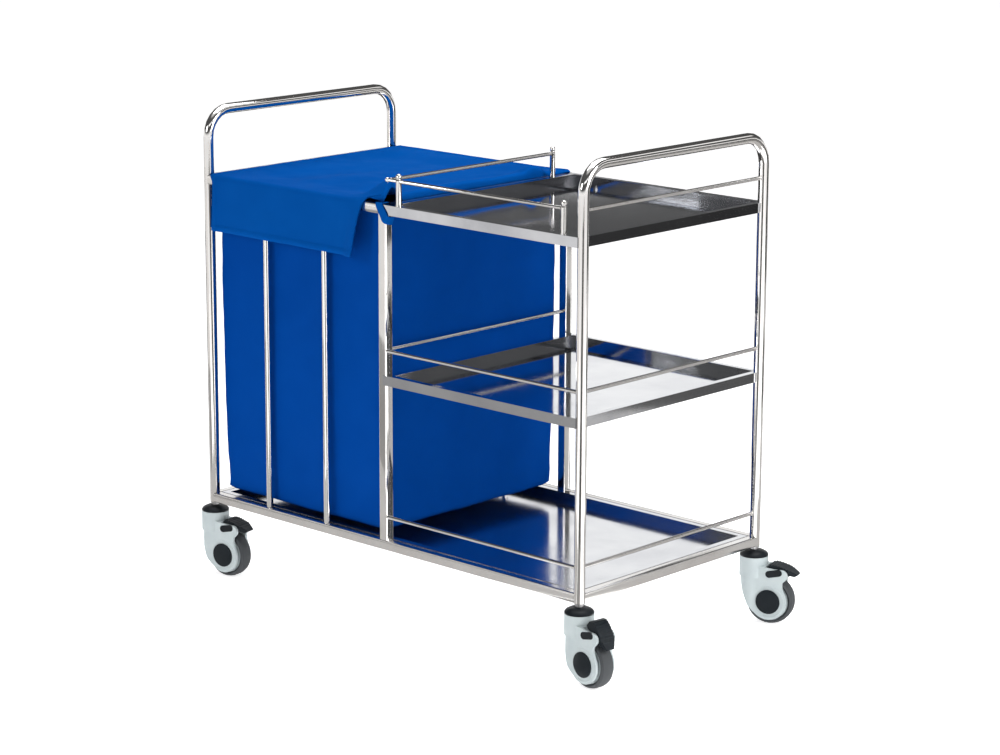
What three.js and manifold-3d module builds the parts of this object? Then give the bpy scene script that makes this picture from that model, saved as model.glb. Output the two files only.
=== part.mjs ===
// Hospital linen trolley: a covered bag bay and three trays between two end hoops, on four
// braked swivel casters. Millimetres, +Z up, +X towards the tray end, -Y the guarded side.
// The origin is on the floor, under the centre of the whole object's box.
import * as THREE from 'three';
import { mergeVertices } from 'three/addons/utils/BufferGeometryUtils.js';
import Module from 'manifold-3d';

const wasm = await Module();
wasm.setup();

// Frame
const LEG_SPAN_X = 1050; // hoop to hoop, leg centre to leg centre
const LEG_SPAN_Y = 540; // guarded side to open side, leg centre to leg centre
const HOOP_TOP = 1017; // highest point of both hoops
const HOOP_DIAMETER = 22;
const HOOP_BEND_RADIUS = 55; // to the tube's centre line
const TUBE_WALL = 1.2;
const SQUARE_TUBE = 20;
const SQUARE_CORNER = 2;
const LEG_BOTTOM = 160; // also the underside of the base rails
const TOP_RAIL_TOP = 872; // bag rails, mid posts and top tray end here
const MID_POST_X = 0; // between the bag bay and the trays
const BAR_DIAMETER = 14;
const BARS_PER_SIDE = 2;
const GAP = 0.3; // between pieces that touch

// Trays and guard rods
const TRAY_DEPTH = 20;
const TRAY_SHEET = 1.2;
const TRAY_HEM = 12; // flange folded inwards at the top of the lip
const TRAY_TOPS = { top_tray: TOP_RAIL_TOP, middle_tray: 525, bottom_tray: LEG_BOTTOM + SQUARE_TUBE };
const TRAY_POST_LAP = 3; // where the lips start, right of the mid posts' centre
const ROD_DIAMETER = 8;
const ROD_ABOVE_LIP = 50;
const ROD_SET_FORWARD = 5; // front rods stand this far out from the leg centres
const GUARD_POST_DIAMETER = 12;
const GUARD_POST_INSET = 44; // from the mid post and from the end leg
const GUARD_BACK_Y = 206;
const GUARD_POST_ABOVE_ROD = 15;

// Bag and cover
const BAG_WALL = 4;
const BAG_BOTTOM = 190;
const BAG_CORNER = 14;
const BAG_SIDE_GAP = 3; // to the rails that it hangs inside
const BAG_TAPER_LEFT = 8;
const BAG_TAPER_RIGHT = 4;
const BAG_TAPER_Y = 2;
const COVER_THICKNESS = 7;
const COVER_LEG_GAP = 2; // to the hoop legs, so that it can swing up between them
const FLAP_BOTTOM = 757;
const FLAP_INSET_LEFT = 12;
const FLAP_INSET_RIGHT = 45;

// Casters, in a frame whose +X trails and whose origin is on the floor under the swivel
const WHEEL_RADIUS = 50;
const TYRE_WIDTH = 32;
const TYRE_BORE_RADIUS = 40;
const CASTER_TRAIL = 38;
const HOUSING_TOP = 140;
const HOUSING_HALF_WIDTH = 24;
const BARREL_RADIUS = 29.5;
const BARREL_FOOT = 98;
const NOSE_RADIUS = 26.5; // housing front under the barrel
const LOBE_RADIUS = 38.5; // housing round the axle
const ARM_TIP = { x: 65.5, z: 107, radius: 12 };
const POCKET_RADIUS = WHEEL_RADIUS + 3.5;
const POCKET_HALF_WIDTH = 18.5;
const HUB_CAP_RADIUS = 25.5;
const HUB_CAP_THICKNESS = 2.7;
const AXLE_RADIUS = 5;
const STEM_RADIUS = 7;
const STEM_FOOT = 105;
const DOME_HEIGHT = 13;
const PEDAL_PIVOT = ARM_TIP;
const PEDAL_HALF_WIDTH = 17.5;
const PEDAL_PIN_RADIUS = 3;
const PEDAL_TRAVEL = 40; // degrees from released to pressed
const PEDAL_BOSS_RADIUS = 7.5;
const PEDAL_RIBS = { count: 8, start: 38, pitch: 6.2, width: 3.2, height: 1.3 };
const PEDAL_ROOM_FLOOR = { near: 101, far: 80, step: 50 }; // heights, and the X where it drops
const CASTERS = [
  { name: 'front_left', sideX: -1, sideY: -1, turn: 9, pressed: false },
  { name: 'front_right', sideX: 1, sideY: -1, turn: -7, pressed: true },
  { name: 'back_left', sideX: -1, sideY: 1, turn: 12, pressed: false },
  { name: 'back_right', sideX: 1, sideY: 1, turn: 22, pressed: false },
];

// Derived places
const LEG_X = LEG_SPAN_X / 2;
const LEG_Y = LEG_SPAN_Y / 2;
const HOOP_RADIUS = HOOP_DIAMETER / 2;
const HALF_TUBE = SQUARE_TUBE / 2;
const HOOP_AXIS_TOP = HOOP_TOP - HOOP_RADIUS;
const BASE_RAIL_Z = LEG_BOTTOM + HALF_TUBE;
const TOP_RAIL_Z = TOP_RAIL_TOP - HALF_TUBE;
const ROD_RADIUS = ROD_DIAMETER / 2;
const FRONT_ROD_Y = -LEG_Y - ROD_SET_FORWARD;
const GUARD_ROD_Z = TOP_RAIL_TOP + ROD_ABOVE_LIP;
const GUARD_POST_RADIUS = GUARD_POST_DIAMETER / 2;
const GUARD_CORNER_X = MID_POST_X + HALF_TUBE + GAP + (TRAY_SHEET + TRAY_HEM) / 2; // top divider rod
const BAY_LEFT = -LEG_X + HALF_TUBE;
const BAY_RIGHT = MID_POST_X - HALF_TUBE;
const LEG_BOTTOM_TO_DOME = LEG_BOTTOM - HOUSING_TOP - DOME_HEIGHT;

// Smoothness of round shapes
const TUBE_SIDES = 20;
const BAR_SIDES = 16;
const ROD_SIDES = 12;
const BEND_STEPS = 6;
const TYRE_SIDES = 36;
const CAP_SIDES = 24;
const SMALL_SIDES = 16;

const steel = () => material(0xd6d7d8, 0.18, 1.0);
const dullSteel = () => material(0x8d9094, 0.3, 1.0);
const fabricBlue = () => material(0x0a4a9c, 0.85, 0.0);
const greyPlastic = () => material(0xc9d4d6, 0.45, 0.0);
const darkPlastic = () => material(0x2b333c, 0.5, 0.0);
const rubber = () => material(0x5d6066, 0.7, 0.0);

function material(color, roughness, metalness) {
  return new THREE.MeshStandardMaterial({ color, roughness, metalness });
}

function addPiece(parent, name, geometry, look) {
  const piece = new THREE.Mesh(geometry, look);
  piece.name = name;
  parent.add(piece);
  return piece;
}

// A closed geometry as a manifold solid, for joining and cutting.
function solidOf(geometry) {
  const bare = geometry.clone();
  bare.deleteAttribute('normal');
  bare.deleteAttribute('uv');
  const merged = mergeVertices(bare, 1e-4);
  return new wasm.Manifold(new wasm.Mesh({
    numProp: 3,
    vertProperties: Float32Array.from(merged.attributes.position.array),
    triVerts: Uint32Array.from(merged.index.array),
  }));
}

function geometryOf(solid) {
  const mesh = solid.getMesh();
  const geometry = new THREE.BufferGeometry();
  geometry.setAttribute('position', new THREE.BufferAttribute(mesh.vertProperties, 3));
  geometry.setIndex(new THREE.BufferAttribute(mesh.triVerts, 1));
  geometry.computeVertexNormals();
  return geometry;
}

function cut(geometry, tools) {
  return geometryOf(tools.reduce((solid, tool) => solid.subtract(solidOf(tool)), solidOf(geometry)));
}

function arcPoints(centre, radius, startDegrees, endDegrees, steps) {
  const points = [];
  for (let i = 0; i <= steps; i += 1) {
    const angle = THREE.MathUtils.degToRad(startDegrees + ((endDegrees - startDegrees) * i) / steps);
    points.push(new THREE.Vector2(centre.x + radius * Math.cos(angle), centre.y + radius * Math.sin(angle)));
  }
  return points;
}

function circlePoints(radius, sides) {
  return arcPoints(new THREE.Vector2(), radius, 0, 360, sides).slice(0, sides);
}

function ringShape(outline, hole) {
  const shape = new THREE.Shape(outline);
  shape.holes.push(new THREE.Path(hole));
  return shape;
}

// A rectangle about the origin with rounded corners.
function roundedRectangle(width, depth, corner, steps) {
  const corners = [[1, 1, 0], [-1, 1, 90], [-1, -1, 180], [1, -1, 270]];
  return corners.flatMap(([sideX, sideY, start]) => {
    const centre = new THREE.Vector2(sideX * (width / 2 - corner), sideY * (depth / 2 - corner));
    return arcPoints(centre, corner, start, start + 90, steps);
  });
}

function prism(shape, length) {
  return new THREE.ExtrudeGeometry(shape, { depth: length, bevelEnabled: false });
}

// Turns a prism that runs along Z so that it runs along X or Y, with its middle at the origin.
function alongX(geometry, length) {
  return geometry.translate(0, 0, -length / 2).rotateY(Math.PI / 2);
}

function alongY(geometry, length) {
  return geometry.translate(0, 0, -length / 2).rotateX(-Math.PI / 2);
}

function squareTube(length) {
  const outline = roundedRectangle(SQUARE_TUBE, SQUARE_TUBE, SQUARE_CORNER, 2);
  const side = SQUARE_TUBE - 2 * TUBE_WALL;
  const bore = [[1, 1], [-1, 1], [-1, -1], [1, -1]].map(
    ([sideX, sideY]) => new THREE.Vector2((sideX * side) / 2, (sideY * side) / 2),
  );
  return prism(ringShape(outline, bore), length);
}

function roundBar(diameter, length, sides) {
  return prism(new THREE.Shape(circlePoints(diameter / 2, sides)), length);
}

function box(low, high) {
  const size = new THREE.Vector3().subVectors(high, low);
  const centre = new THREE.Vector3().addVectors(low, high).multiplyScalar(0.5);
  return new THREE.BoxGeometry(size.x, size.y, size.z).translate(centre.x, centre.y, centre.z);
}

// The cylinders that a piece is cut with where it meets the four legs.
function legCutters() {
  return [-1, 1].flatMap((sideX) => [-1, 1].map((sideY) => {
    const cutter = roundBar(2 * (HOOP_RADIUS + GAP), HOOP_TOP, TUBE_SIDES);
    return cutter.translate(sideX * LEG_X, sideY * LEG_Y, 0);
  }));
}

// A path through given stations, each with its own direction, for a tube with bends.
class StationPath extends THREE.Curve {
  constructor(stations) {
    super();
    this.stations = stations;
  }

  getPointAt(u) {
    return this.stations[Math.round(u * (this.stations.length - 1))].point.clone();
  }

  getTangentAt(u) {
    return this.stations[Math.round(u * (this.stations.length - 1))].direction.clone();
  }
}

// Half of a hoop, from the foot of the leg on one side to the end of its bend.
function hoopSide(sideY) {
  const straightTop = HOOP_AXIS_TOP - HOOP_BEND_RADIUS;
  const bendCentre = new THREE.Vector3(0, sideY * (LEG_Y - HOOP_BEND_RADIUS), straightTop);
  const foot = new THREE.Vector3(0, sideY * LEG_Y, LEG_BOTTOM);
  const stations = [{ point: foot, direction: new THREE.Vector3(0, 0, 1) }];
  for (let i = 0; i <= BEND_STEPS; i += 1) {
    const angle = ((Math.PI / 2) * i) / BEND_STEPS;
    const outwards = new THREE.Vector3(0, sideY * Math.cos(angle), Math.sin(angle));
    const direction = new THREE.Vector3(0, -sideY * Math.sin(angle), Math.cos(angle));
    stations.push({ point: outwards.multiplyScalar(HOOP_BEND_RADIUS).add(bendCentre), direction });
  }
  return stations;
}

function hoop() {
  const rising = hoopSide(-1);
  const falling = hoopSide(1).reverse();
  falling.forEach(({ direction }) => direction.negate());
  const path = new StationPath([...rising, ...falling]);
  const section = ringShape(
    circlePoints(HOOP_RADIUS, TUBE_SIDES),
    circlePoints(HOOP_RADIUS - TUBE_WALL, TUBE_SIDES),
  );
  return new THREE.ExtrudeGeometry(section, {
    extrudePath: path,
    steps: path.stations.length - 1,
    bevelEnabled: false,
  });
}

function addHoops(frame) {
  addPiece(frame, 'left_hoop', hoop(), steel()).position.x = -LEG_X;
  addPiece(frame, 'right_hoop', hoop(), steel()).position.x = LEG_X;
}

// Long rails run from leg to leg and are coped to the tubes; end rails are coped to both.
function addBaseRails(frame) {
  [['base_front_rail', -1], ['base_back_rail', 1]].forEach(([name, sideY]) => {
    const rail = alongX(squareTube(LEG_SPAN_X), LEG_SPAN_X).translate(0, sideY * LEG_Y, BASE_RAIL_Z);
    addPiece(frame, name, cut(rail, legCutters()), steel());
  });
  const reach = HALF_TUBE + GAP;
  const longRails = [-1, 1].map((sideY) => box(
    new THREE.Vector3(-LEG_X, sideY * LEG_Y - reach, LEG_BOTTOM - reach),
    new THREE.Vector3(LEG_X, sideY * LEG_Y + reach, LEG_BOTTOM + SQUARE_TUBE + reach),
  ));
  [['base_left_rail', -1], ['base_right_rail', 1]].forEach(([name, sideX]) => {
    const rail = alongY(squareTube(LEG_SPAN_Y), LEG_SPAN_Y).translate(sideX * LEG_X, 0, BASE_RAIL_Z);
    addPiece(frame, name, cut(rail, [...legCutters(), ...longRails]), steel());
  });
}

function addMidPosts(frame) {
  const foot = LEG_BOTTOM + SQUARE_TUBE + GAP;
  [['mid_front_post', -1], ['mid_back_post', 1]].forEach(([name, sideY]) => {
    const post = squareTube(TOP_RAIL_TOP - foot).translate(MID_POST_X, sideY * LEG_Y, foot);
    addPiece(frame, name, post, steel());
  });
}

// The four rails that the bag hangs on.
function addBagRails(frame) {
  const end = MID_POST_X - HALF_TUBE - GAP;
  const length = end + LEG_X;
  [['bag_front_rail', -1], ['bag_back_rail', 1]].forEach(([name, sideY]) => {
    const rail = alongX(squareTube(length), length).translate(end - length / 2, sideY * LEG_Y, TOP_RAIL_Z);
    addPiece(frame, name, cut(rail, legCutters()), steel());
  });
  const width = 2 * (LEG_Y - HALF_TUBE - GAP);
  [['bag_left_rail', -LEG_X], ['bag_right_rail', MID_POST_X]].forEach(([name, x]) => {
    const rail = alongY(squareTube(width), width).translate(x, 0, TOP_RAIL_Z);
    addPiece(frame, name, cut(rail, legCutters()), steel());
  });
}

function addBagBars(frame) {
  const foot = LEG_BOTTOM + SQUARE_TUBE + GAP;
  const length = TOP_RAIL_TOP - SQUARE_TUBE - GAP - foot;
  const pitch = (MID_POST_X + LEG_X) / (BARS_PER_SIDE + 1);
  [['front', -1], ['back', 1]].forEach(([side, sideY]) => {
    for (let i = 1; i <= BARS_PER_SIDE; i += 1) {
      const section = ringShape(
        circlePoints(BAR_DIAMETER / 2, BAR_SIDES),
        circlePoints(BAR_DIAMETER / 2 - TUBE_WALL, BAR_SIDES),
      );
      const bar = prism(section, length).translate(-LEG_X + i * pitch, sideY * LEG_Y, foot);
      addPiece(frame, `bag_${side}_bar_${i}`, bar, steel());
    }
  });
}

// A pan with a folded hem, from its outline, its inner size and the place of its middle.
function pan(outline, inner, centreX) {
  const hollow = (margin, low, high) => box(
    new THREE.Vector3(centreX - inner.x + margin, -inner.y + margin, low),
    new THREE.Vector3(centreX + inner.x - margin, inner.y - margin, high),
  );
  return cut(prism(new THREE.Shape(outline), TRAY_DEPTH), [
    hollow(0, TRAY_SHEET, TRAY_DEPTH - TRAY_SHEET),
    hollow(TRAY_HEM, TRAY_DEPTH / 2, TRAY_DEPTH * 2),
  ]);
}

// Upper trays lap over the mid posts' faces and reach the leg centres at the end.
function upperTray(top) {
  const left = MID_POST_X + HALF_TUBE + GAP;
  const right = LEG_X + 1;
  const outer = LEG_Y + HALF_TUBE + GAP + TRAY_SHEET;
  const inner = outer - TRAY_SHEET;
  const lap = MID_POST_X + TRAY_POST_LAP;
  const legSide = LEG_X - 4;
  const half = [[left, inner], [lap, inner], [lap, outer], [legSide, outer], [right, LEG_Y - 8]];
  const outline = [...half, ...half.map(([x, y]) => [x, -y]).reverse()];
  const size = new THREE.Vector2((right - left) / 2 - TRAY_SHEET, inner);
  const tray = pan(outline.map(([x, y]) => new THREE.Vector2(x, y)), size, (left + right) / 2);
  return cut(tray.translate(0, 0, top - TRAY_DEPTH), legCutters());
}

// The bottom tray drops in between the base rails and runs under the bag too.
function bottomTray(top) {
  const reachX = LEG_X - HALF_TUBE - GAP;
  const reachY = LEG_Y - HALF_TUBE - GAP;
  const outline = [[1, 1], [-1, 1], [-1, -1], [1, -1]];
  const corners = outline.map(([sideX, sideY]) => new THREE.Vector2(sideX * reachX, sideY * reachY));
  const tray = pan(corners, new THREE.Vector2(reachX - TRAY_SHEET, reachY - TRAY_SHEET), 0);
  return tray.translate(0, 0, top - TRAY_DEPTH);
}

function addTrays(frame) {
  addPiece(frame, 'top_tray', upperTray(TRAY_TOPS.top_tray), dullSteel());
  addPiece(frame, 'middle_tray', upperTray(TRAY_TOPS.middle_tray), steel());
  addPiece(frame, 'bottom_tray', bottomTray(TRAY_TOPS.bottom_tray), steel());
}

function rodAlongX(low, high, y, z) {
  const length = high - low;
  return alongX(roundBar(ROD_DIAMETER, length, ROD_SIDES), length).translate((low + high) / 2, y, z);
}

function rodAlongY(low, high, x, z) {
  const length = high - low;
  return alongY(roundBar(ROD_DIAMETER, length, ROD_SIDES), length).translate(x, (low + high) / 2, z);
}

// Rods between the mid posts and the end hoop, at one tray.
function addSideRods(frame, tier, z) {
  const postFace = MID_POST_X + HALF_TUBE + GAP;
  const rod = rodAlongX(postFace, LEG_X, FRONT_ROD_Y, z);
  addPiece(frame, `${tier}_front_rod`, cut(rod, legCutters()), steel());
}

function addEndRod(frame, tier, z) {
  const reach = LEG_Y - HOOP_RADIUS - GAP;
  addPiece(frame, `${tier}_end_rod`, rodAlongY(-reach, reach, LEG_X, z), steel());
}

function addRods(frame) {
  const middle = TRAY_TOPS.middle_tray + ROD_ABOVE_LIP;
  const bottom = TRAY_TOPS.bottom_tray + ROD_ABOVE_LIP;
  addSideRods(frame, 'middle', middle);
  addSideRods(frame, 'bottom', bottom);
  addEndRod(frame, 'top', GUARD_ROD_Z);
  addEndRod(frame, 'middle', middle);
  addEndRod(frame, 'bottom', bottom);
  const reach = LEG_Y - HALF_TUBE - GAP;
  addPiece(frame, 'middle_divider_rod', rodAlongY(-reach, reach, MID_POST_X, middle), steel());
}

// A round post with a foot ring and a domed top, standing on the tray's hem.
function guardPost() {
  const top = ROD_ABOVE_LIP + GUARD_POST_ABOVE_ROD;
  const foot = GUARD_POST_RADIUS + 0.6;
  const neck = GUARD_POST_RADIUS - 1.2;
  const knob = top - 2 * GUARD_POST_RADIUS;
  const dome = arcPoints(new THREE.Vector2(0, top - GUARD_POST_RADIUS), GUARD_POST_RADIUS, -45, 90, 6);
  const shoulder = [[GUARD_POST_RADIUS, knob - 1.5], [neck, knob]];
  const profile = [[0, 0], [foot, 0], [foot, 3], [GUARD_POST_RADIUS, 3], ...shoulder];
  const points = [...profile.map(([x, y]) => new THREE.Vector2(x, y)), ...dome];
  points[points.length - 1].x = 0;
  return new THREE.LatheGeometry(points, SMALL_SIDES).rotateX(Math.PI / 2);
}

// The top guard: a front rod through one post to the next, and a divider to a third post.
function addTopGuard(frame) {
  const frontLeft = new THREE.Vector3(MID_POST_X + GUARD_POST_INSET, FRONT_ROD_Y, TOP_RAIL_TOP + GAP);
  const frontRight = frontLeft.clone().setX(LEG_X - GUARD_POST_INSET);
  const backLeft = new THREE.Vector3(GUARD_CORNER_X, GUARD_BACK_Y, TOP_RAIL_TOP + GAP);
  const place = (post, at) => post.translate(at.x, at.y, at.z);
  const rodEnd = GUARD_CORNER_X - ROD_RADIUS;
  const stop = GUARD_POST_RADIUS + GAP;
  const ballRadius = ROD_RADIUS + 1.2;
  const ball = new THREE.SphereGeometry(ballRadius, ROD_SIDES, 8).translate(rodEnd, FRONT_ROD_Y, GUARD_ROD_Z);
  const rod = rodAlongX(rodEnd, frontRight.x - stop, FRONT_ROD_Y, GUARD_ROD_Z);
  const hole = roundBar(ROD_DIAMETER + 2 * GAP, 2 * GUARD_POST_DIAMETER, ROD_SIDES);
  const bore = alongX(hole, 2 * GUARD_POST_DIAMETER).translate(frontLeft.x, FRONT_ROD_Y, GUARD_ROD_Z);
  addPiece(frame, 'guard_post_front_left', cut(place(guardPost(), frontLeft), [bore]), steel());
  addPiece(frame, 'guard_post_front_right', place(guardPost(), frontRight), steel());
  addPiece(frame, 'guard_post_back_left', place(guardPost(), backLeft), steel());
  addPiece(frame, 'top_front_rod', geometryOf(solidOf(rod).add(solidOf(ball))), steel());
  const dividerStart = FRONT_ROD_Y + ballRadius + GAP;
  const divider = rodAlongY(dividerStart, backLeft.y - stop, backLeft.x, GUARD_ROD_Z);
  addPiece(frame, 'top_divider_rod', divider, steel());
}

// One level of the bag: how far its rounded rectangle has drawn in from the size at the top.
function bagRing(z, drawIn, inset) {
  const left = BAY_LEFT + BAG_SIDE_GAP + BAG_TAPER_LEFT * drawIn + inset;
  const right = BAY_RIGHT - BAG_SIDE_GAP - BAG_TAPER_RIGHT * drawIn - inset;
  const reach = LEG_Y - HALF_TUBE - BAG_SIDE_GAP - BAG_TAPER_Y * drawIn - inset;
  const outline = roundedRectangle(right - left, 2 * reach, BAG_CORNER - inset, 3);
  return outline.map(({ x, y }) => new THREE.Vector3(x + (left + right) / 2, y, z));
}

// Joins rings of equal length into one closed skin, with a flat face on the first and last.
function skinOf(rings) {
  const count = rings[0].length;
  const points = rings.flat();
  const faces = [];
  for (let level = 0; level + 1 < rings.length; level += 1) {
    for (let i = 0; i < count; i += 1) {
      const here = level * count + i;
      const next = level * count + ((i + 1) % count);
      faces.push(here, next, next + count, here, next + count, here + count);
    }
  }
  const last = points.length - count;
  for (let i = 1; i + 1 < count; i += 1) {
    faces.push(0, i + 1, i, last, last + i, last + i + 1);
  }
  const geometry = new THREE.BufferGeometry().setFromPoints(points);
  geometry.setIndex(faces);
  return geometry;
}

// An open-topped bag that hangs inside the four rails, a little narrower at the bottom.
function linenBag() {
  const top = TOP_RAIL_TOP - 1;
  const outside = [[BAG_BOTTOM, 1.6], [BAG_BOTTOM + 12, 1.1], [BAG_BOTTOM + 60, 0.9], [top, 0]];
  const outer = skinOf(outside.map(([z, drawIn]) => bagRing(z, drawIn, 0)));
  const inside = [[BAG_BOTTOM + BAG_WALL, 1.6], ...outside.slice(1, 3), [top + BAG_WALL, 0]];
  const inner = skinOf(inside.map(([z, drawIn]) => bagRing(z, drawIn, BAG_WALL)));
  return cut(outer, [inner]);
}

// A fabric cover hinged at the back rail, with a flap over the front rail.
function bagCover() {
  const under = TOP_RAIL_TOP + 2 * GAP;
  const left = -LEG_X + HOOP_RADIUS + COVER_LEG_GAP;
  const right = MID_POST_X - 3;
  const back = coverHinge().y;
  const flapBack = -LEG_Y - HALF_TUBE - 2 * GAP;
  const flapFront = flapBack - COVER_THICKNESS + 2;
  const sheet = box(
    new THREE.Vector3(left, flapFront, under),
    new THREE.Vector3(right, back, under + COVER_THICKNESS),
  );
  const flap = box(
    new THREE.Vector3(left + FLAP_INSET_LEFT, flapFront, FLAP_BOTTOM),
    new THREE.Vector3(right - FLAP_INSET_RIGHT, flapBack, under + 1),
  );
  return geometryOf(solidOf(sheet).add(solidOf(flap)));
}

function coverHinge() {
  return new THREE.Vector3(MID_POST_X - LEG_X / 2, LEG_Y + HALF_TUBE + 3, TOP_RAIL_TOP + 4);
}

// The housing seen from the side: barrel front, lobe round the axle, neck and arm.
function housingOutline() {
  const lobe = new THREE.Vector2(CASTER_TRAIL, WHEEL_RADIUS);
  const tip = new THREE.Vector2(ARM_TIP.x, ARM_TIP.z);
  const nose = [[-BARREL_RADIUS, 126], [-29, 116], [-25.5, 92], [-17, 64], [-5, 39]];
  const neck = [[66.5, 84], [67, 92]];
  const shoulder = [[44, 119.5], [26, 122]];
  const points = (pairs) => pairs.map(([x, y]) => new THREE.Vector2(x, y));
  return [
    ...points(nose),
    ...arcPoints(lobe, LOBE_RADIUS, 225, 395, 14),
    ...points(neck),
    ...arcPoints(tip, ARM_TIP.radius, -50, 90, 6),
    ...points(shoulder),
  ];
}

// The housing seen from above: a round nose and sides that draw in a little.
function housingPlan() {
  const reach = ARM_TIP.x + ARM_TIP.radius + 5;
  const meeting = THREE.MathUtils.radToDeg(Math.asin(HOUSING_HALF_WIDTH / NOSE_RADIUS));
  const nose = arcPoints(new THREE.Vector2(), NOSE_RADIUS, meeting, 360 - meeting, 18);
  const tail = [[reach, -HOUSING_HALF_WIDTH], [reach, HOUSING_HALF_WIDTH]];
  return [...nose, ...tail.map(([x, y]) => new THREE.Vector2(x, y))];
}

function crossBar(radius, halfWidth, at, sides) {
  return alongY(roundBar(2 * radius, 2 * halfWidth, sides), 2 * halfWidth).translate(at.x, 0, at.z);
}

function sidePlate(outline, halfWidth) {
  return prism(new THREE.Shape(outline), 2 * halfWidth).translate(0, 0, -halfWidth).rotateX(Math.PI / 2);
}

const AXLE_AT = { x: CASTER_TRAIL, z: WHEEL_RADIUS };

// Barrel and fork in one moulding, open round the wheel and between the arms for the pedal.
function casterHousing() {
  const side = solidOf(sidePlate(housingOutline(), 2 * BARREL_RADIUS));
  const plan = solidOf(prism(new THREE.Shape(housingPlan()), HOUSING_TOP));
  const barrelHeight = HOUSING_TOP - BARREL_FOOT;
  const barrel = roundBar(2 * BARREL_RADIUS, barrelHeight, CAP_SIDES).translate(0, 0, BARREL_FOOT);
  const body = side.intersect(plan).add(solidOf(barrel));
  const room = (start, floor) => box(
    new THREE.Vector3(start, -POCKET_HALF_WIDTH, floor),
    new THREE.Vector3(2 * CASTER_TRAIL + BARREL_RADIUS, POCKET_HALF_WIDTH, HOUSING_TOP + 1),
  );
  const stemBore = roundBar(2 * (STEM_RADIUS + GAP), HOUSING_TOP, SMALL_SIDES).translate(0, 0, STEM_FOOT - 1);
  return cut(geometryOf(body), [
    crossBar(POCKET_RADIUS, POCKET_HALF_WIDTH, AXLE_AT, TYRE_SIDES),
    room(BARREL_RADIUS + 1, PEDAL_ROOM_FLOOR.near),
    room(PEDAL_ROOM_FLOOR.step, PEDAL_ROOM_FLOOR.far),
    stemBore,
    crossBar(AXLE_RADIUS + GAP, 2 * BARREL_RADIUS, AXLE_AT, SMALL_SIDES),
    crossBar(PEDAL_PIN_RADIUS + GAP, HOUSING_HALF_WIDTH - 2, PEDAL_PIVOT, ROD_SIDES),
  ]);
}

function lathe(profile, sides) {
  return new THREE.LatheGeometry(profile.map(([x, y]) => new THREE.Vector2(x, y)), sides);
}

// A domed dust cap with a hole for the stem, sitting on the barrel.
function casterDome() {
  const bore = STEM_RADIUS + GAP;
  const low = HOUSING_TOP + GAP;
  const profile = [
    [bore, low],
    [BARREL_RADIUS - 0.5, low],
    [BARREL_RADIUS, low + 2.5],
    [BARREL_RADIUS - 3, low + 6.5],
    [BARREL_RADIUS - 11, low + 10.5],
    [bore + 4, low + DOME_HEIGHT - 1],
    [bore, low + DOME_HEIGHT - 1],
    [bore, low],
  ];
  return lathe(profile, CAP_SIDES).rotateX(Math.PI / 2);
}

// The stem: a stud in the leg, a flange under it, a nut and a spindle down into the barrel.
function casterStem() {
  const stud = HOOP_RADIUS - TUBE_WALL - 2 * GAP;
  const studTop = LEG_BOTTOM + 25;
  const flange = HOOP_RADIUS - 0.5;
  const flangeTop = LEG_BOTTOM - GAP;
  const flangeFoot = flangeTop - 2;
  const nut = 8.5;
  const domeTop = LEG_BOTTOM - LEG_BOTTOM_TO_DOME + 2 * GAP;
  const profile = [
    [0, STEM_FOOT],
    [STEM_RADIUS, STEM_FOOT],
    [STEM_RADIUS, domeTop],
    [nut, domeTop],
    [nut, flangeFoot],
    [flange, flangeFoot],
    [flange, flangeTop],
    [stud, flangeTop],
    [stud, studTop],
    [0, studTop],
  ];
  return lathe(profile, SMALL_SIDES).rotateX(Math.PI / 2);
}

// The axle with a wide flat cap at each end, outside the housing.
function casterAxle() {
  const low = HOUSING_HALF_WIDTH + GAP;
  const high = low + HUB_CAP_THICKNESS;
  const rim = [[HUB_CAP_RADIUS, low], [HUB_CAP_RADIUS, high - 1], [HUB_CAP_RADIUS - 2, high]];
  const half = [[AXLE_RADIUS, low], ...rim, [0, high]];
  const mirrored = half.map(([x, y]) => [x, -y]).reverse();
  return lathe([...mirrored, ...half], CAP_SIDES);
}

function wheelCore() {
  const bore = AXLE_RADIUS + GAP;
  const rim = TYRE_BORE_RADIUS - GAP;
  const half = [[bore, 17], [11, 17], [13, 9], [32, 9], [35, 13], [rim, 13]];
  const mirrored = half.map(([x, y]) => [x, -y]);
  return lathe([...mirrored, ...half.reverse(), mirrored[0]], CAP_SIDES);
}

function wheelTyre() {
  const side = TYRE_WIDTH / 2;
  const half = [[TYRE_BORE_RADIUS, side - 2.5], [44, side], [48.2, side - 3.5], [WHEEL_RADIUS, side - 10]];
  const mirrored = half.map(([x, y]) => [x, -y]);
  return lathe([...mirrored, ...half.reverse(), mirrored[0]], TYRE_SIDES);
}

// The pedal's top line, in caster coordinates, released: a curve with ribs across it.
function pedalTop() {
  const along = [[33, 121], [40, 126], [51, 126.5], [70, 122], [90, 113.5], [97, 109]];
  const curve = new THREE.SplineCurve(along.map(([x, z]) => new THREE.Vector2(x, z)));
  const heightAt = (x) => {
    const steps = 80;
    const samples = curve.getPoints(steps);
    const after = samples.findIndex((sample) => sample.x >= x);
    return samples[Math.max(after, 0)].y;
  };
  const points = [new THREE.Vector2(33, 108), new THREE.Vector2(33, 121)];
  for (let i = 0; i < PEDAL_RIBS.count; i += 1) {
    const start = PEDAL_RIBS.start + i * PEDAL_RIBS.pitch;
    const end = start + PEDAL_RIBS.width;
    points.push(new THREE.Vector2(start, heightAt(start)));
    points.push(new THREE.Vector2(start + 0.6, heightAt(start) + PEDAL_RIBS.height));
    points.push(new THREE.Vector2(end - 0.6, heightAt(end) + PEDAL_RIBS.height));
    points.push(new THREE.Vector2(end, heightAt(end)));
  }
  points.push(new THREE.Vector2(90, heightAt(90)));
  points.push(new THREE.Vector2(97, 109));
  return points;
}

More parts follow.
